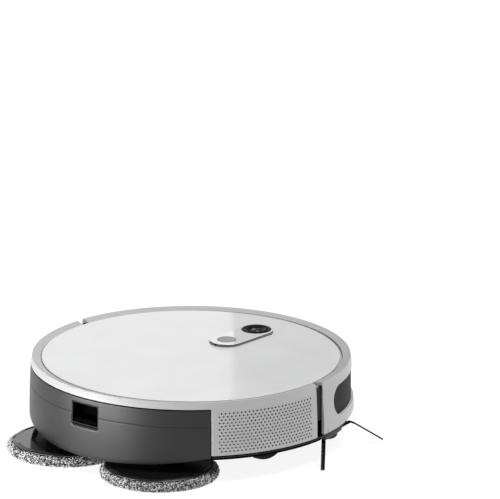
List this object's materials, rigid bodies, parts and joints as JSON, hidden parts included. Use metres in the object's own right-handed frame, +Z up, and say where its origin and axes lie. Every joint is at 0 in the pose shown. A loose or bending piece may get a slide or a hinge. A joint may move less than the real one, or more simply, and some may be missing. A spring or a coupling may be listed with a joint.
{
  "type": "robot vacuum",
  "caption": "Round robot vacuum with a sprung front bumper, removable rear tank, side brush, roller and two spinning mop pads.",
  "frame": {"origin": "on the floor, under the middle of the whole object's bounding box; the round body's own axis is at x = -8.8 mm, y = 7.3 mm", "axes": "+Z up from the floor, +Y the robot's forward direction (bumper side), +X its right-hand side"},
  "size_m": [0.348, 0.347, 0.0896],
  "materials": {
    "white_shell": "white moulded plastic, satin-gloss",
    "top_gloss": "white high-gloss lacquered plastic",
    "dark_grey_plastic": "dark grey semi-gloss plastic",
    "window_grey": "infrared-clear dark plastic",
    "black_plastic": "black textured plastic",
    "gloss_black": "black high-gloss plastic",
    "button_grey": "silver-grey satin plastic",
    "dark_clear": "smoked clear plastic",
    "soft_rubber": "black moulded rubber",
    "tyre_rubber": "black treaded rubber",
    "mop_fabric": "grey twisted loop-pile microfibre",
    "filter_cloth": "white pleated filter cloth",
    "bristle": "black nylon bristle",
    "board": "green circuit board",
    "steel": "plated steel",
    "contact_metal": "plated contact metal"
  },
  "bodies": {
    "chassis": {"upper_shell": "white_shell", "console_island": "white_shell", "top_plate": "top_gloss", "brush_frame": "dark_grey_plastic", "caster_socket": "dark_grey_plastic", "bumper_backing": "window_grey", "base_pan": "black_plastic", "battery_pack": "black_plastic", "battery_cover": "black_plastic", "brush_motor": "black_plastic", "brush_chamber": "black_plastic", "suction_duct": "black_plastic", "fan_housing": "black_plastic", "mop_gearbox": "black_plastic", "camera_bezel": "gloss_black", "camera_lens": "dark_clear", "cliff_sensor_front_left": "dark_clear", "cliff_sensor_front_right": "dark_clear", "cliff_sensor_left": "dark_clear", "cliff_sensor_right": "dark_clear", "main_board": "board", "side_brush_motor": "steel", "fan_motor": "steel", "mop_motor": "steel", "charge_contact_left": "contact_metal", "charge_contact_right": "contact_metal"},
    "bumper": {"bumper_shell": "white_shell", "bumper_window": "window_grey"},
    "button": {"power_button": "button_grey"},
    "tank": {"tank_shell": "dark_grey_plastic", "tank_cover": "dark_grey_plastic", "filler_plug": "soft_rubber", "dust_bin": "dark_clear", "dust_filter": "filter_cloth", "pocket_liner": "gloss_black"},
    "release": {"release_bar": "black_plastic"},
    "mop_left": {"mop_pad_left": "mop_fabric", "mop_plate_left": "gloss_black", "mop_spindle_left": "steel"},
    "mop_right": {"mop_pad_right": "mop_fabric", "mop_plate_right": "gloss_black", "mop_spindle_right": "steel"},
    "side_brush": {"side_brush_hub": "black_plastic", "side_brush_tuft_1": "bristle", "side_brush_tuft_2": "bristle", "side_brush_tuft_3": "bristle"},
    "roller": {"roller_core": "dark_grey_plastic", "roller_strip_1": "soft_rubber", "roller_strip_2": "bristle", "roller_strip_3": "soft_rubber", "roller_strip_4": "bristle"},
    "impeller": {"fan_impeller": "dark_grey_plastic"},
    "caster": {"caster_fork": "black_plastic"},
    "caster_roll": {"caster_wheel": "soft_rubber"},
    "arm_left": {"wheel_arm_left": "black_plastic"},
    "arm_right": {"wheel_arm_right": "black_plastic"},
    "wheel_left": {"wheel_tyre_left": "tyre_rubber", "wheel_hub_left": "dark_grey_plastic"},
    "wheel_right": {"wheel_tyre_right": "tyre_rubber", "wheel_hub_right": "dark_grey_plastic"}
  },
  "joints": [
    {"name": "bumper_press", "type": "slide", "parent": "chassis", "child": "bumper", "axis": [0, -1, 0], "range_m": [0, 0.003], "stiffness_N_per_m": 400},
    {"name": "button_press", "type": "slide", "parent": "chassis", "child": "button", "axis": [0, 0, -1], "range_m": [0, 0.001], "stiffness_N_per_m": 600},
    {"name": "tank_slide", "type": "slide", "parent": "chassis", "child": "tank", "axis": [0, -1, 0], "range_m": [0, 0.13]},
    {"name": "release_lift", "type": "slide", "parent": "tank", "child": "release", "axis": [0, 0, 1], "range_m": [0, 0.004], "stiffness_N_per_m": 300},
    {"name": "mop_left_spin", "type": "hinge", "parent": "chassis", "child": "mop_left", "pos_m": [-0.07185, -0.113, 0], "axis": [0, 0, 1], "continuous": true},
    {"name": "mop_right_spin", "type": "hinge", "parent": "chassis", "child": "mop_right", "pos_m": [0.05416, -0.113, 0], "axis": [0, 0, 1], "continuous": true},
    {"name": "side_brush_spin", "type": "hinge", "parent": "chassis", "child": "side_brush", "pos_m": [0.12956, 0.0559, 0.016], "axis": [0, 0, 1], "continuous": true, "deforming": ["side_brush_tuft_1", "side_brush_tuft_2", "side_brush_tuft_3"]},
    {"name": "roller_spin", "type": "hinge", "parent": "chassis", "child": "roller", "pos_m": [-0.00885, -0.0007, 0.02], "axis": [1, 0, 0], "continuous": true},
    {"name": "fan_spin", "type": "hinge", "parent": "chassis", "child": "impeller", "pos_m": [0.10415, -0.0787, 0.06], "axis": [0, 0, 1], "continuous": true},
    {"name": "caster_swivel", "type": "hinge", "parent": "chassis", "child": "caster", "pos_m": [-0.00885, 0.1353, 0.025], "axis": [0, 0, 1], "continuous": true},
    {"name": "caster_roll", "type": "hinge", "parent": "caster", "child": "caster_roll", "pos_m": [-0.00885, 0.1293, 0.01], "axis": [1, 0, 0], "continuous": true},
    {"name": "wheel_drop_left", "type": "hinge", "parent": "chassis", "child": "arm_left", "pos_m": [-0.09835, 0.0393, 0.036], "axis": [1, 0, 0], "range_deg": [0, 28], "stiffness_Nm_per_rad": 0.12, "springref_deg": 51.57},
    {"name": "wheel_spin_left", "type": "hinge", "parent": "arm_left", "child": "wheel_left", "pos_m": [-0.11485, -0.0007, 0.034], "axis": [1, 0, 0], "continuous": true},
    {"name": "wheel_drop_right", "type": "hinge", "parent": "chassis", "child": "arm_right", "pos_m": [0.08066, 0.0393, 0.036], "axis": [1, 0, 0], "range_deg": [0, 28], "stiffness_Nm_per_rad": 0.12, "springref_deg": 51.57},
    {"name": "wheel_spin_right", "type": "hinge", "parent": "arm_right", "child": "wheel_right", "pos_m": [0.09716, -0.0007, 0.034], "axis": [1, 0, 0], "continuous": true}
  ],
  "couplings": [
    {"joint": "mop_right_spin", "follows": "mop_left_spin", "ratio": -1}
  ]
}
